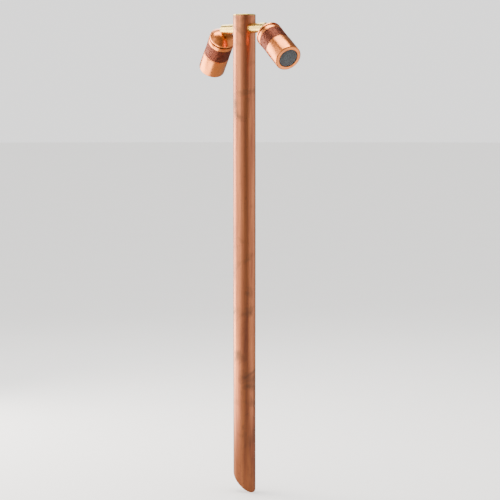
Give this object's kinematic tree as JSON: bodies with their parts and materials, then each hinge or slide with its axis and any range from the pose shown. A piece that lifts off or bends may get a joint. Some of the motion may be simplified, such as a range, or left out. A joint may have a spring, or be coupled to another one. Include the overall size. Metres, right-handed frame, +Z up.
{
  "type": "twin garden pole spotlight",
  "caption": "Copper tube garden pole with a slant-cut foot, a brass cap and opposite brass arms that each carry a tilting finned copper spotlight.",
  "frame": {"origin": "on the pole's axis, level with the lowest point of the slant-cut foot", "axes": "+Z up along the pole, +X right and -Y front as the object is seen with the right-hand head in front of the pole"},
  "size_m": [0.2276, 0.3227, 1.088],
  "materials": {
    "aged_copper": "drawn copper tube, unlacquered, handled and streaky",
    "turned_copper": "turned copper, satin, no lacquer",
    "brass": "turned brass, satin",
    "steel": "stainless, satin",
    "rubber": "black silicone, matt",
    "lens_glass": "clear toughened, polished",
    "lamp_glass": "clear quartz",
    "reflector": "faceted, mirror coated",
    "ceramic": "unglazed, cream"
  },
  "bodies": {
    "pole": {"pole_tube": "aged_copper", "top_cap": "brass", "cap_seal": "rubber", "arm_hub": "brass", "cable_bung": "rubber", "hub_screw_upper": "steel", "hub_screw_lower": "steel", "right_lock_screw": "steel", "left_lock_screw": "steel"},
    "right_arm": {"right_arm": "brass", "right_arm_seal": "rubber", "right_pivot_screw": "steel", "right_pivot_washer_near": "steel", "right_pivot_washer_far": "steel"},
    "right_head": {"right_rear_cap": "turned_copper", "right_body_seal": "rubber", "right_finned_body": "turned_copper", "right_front_cowl": "turned_copper", "right_lens": "lens_glass", "right_lens_seal": "rubber", "right_lamp_reflector": "reflector", "right_lamp_capsule": "lamp_glass", "right_lamp_base": "ceramic", "right_lamp_holder": "ceramic"},
    "left_arm": {"left_arm": "brass", "left_arm_seal": "rubber", "left_pivot_screw": "steel", "left_pivot_washer_near": "steel", "left_pivot_washer_far": "steel"},
    "left_head": {"left_rear_cap": "turned_copper", "left_body_seal": "rubber", "left_finned_body": "turned_copper", "left_front_cowl": "turned_copper", "left_lens": "lens_glass", "left_lens_seal": "rubber", "left_lamp_reflector": "reflector", "left_lamp_capsule": "lamp_glass", "left_lamp_base": "ceramic", "left_lamp_holder": "ceramic"}
  },
  "joints": [
    {"name": "right_arm_swivel", "type": "hinge", "parent": "pole", "child": "right_arm", "pos_m": [0, 0, 1.0555], "axis": [0.6428, -0.766, 0], "range_deg": [-75.5, 104.5]},
    {"name": "right_head_tilt", "type": "hinge", "parent": "right_arm", "child": "right_head", "pos_m": [0.04307, -0.05133, 1.0555], "axis": [0.7416, 0.6223, -0.2504], "range_deg": [-35, 55]},
    {"name": "left_arm_swivel", "type": "hinge", "parent": "pole", "child": "left_arm", "pos_m": [0, 0, 1.0555], "axis": [-0.6428, 0.766, 0], "range_deg": [-70.5, 109.5]},
    {"name": "left_head_tilt", "type": "hinge", "parent": "left_arm", "child": "left_head", "pos_m": [-0.04307, 0.05133, 1.0555], "axis": [-0.7221, -0.6059, -0.3338], "range_deg": [-46, 44]}
  ]
}
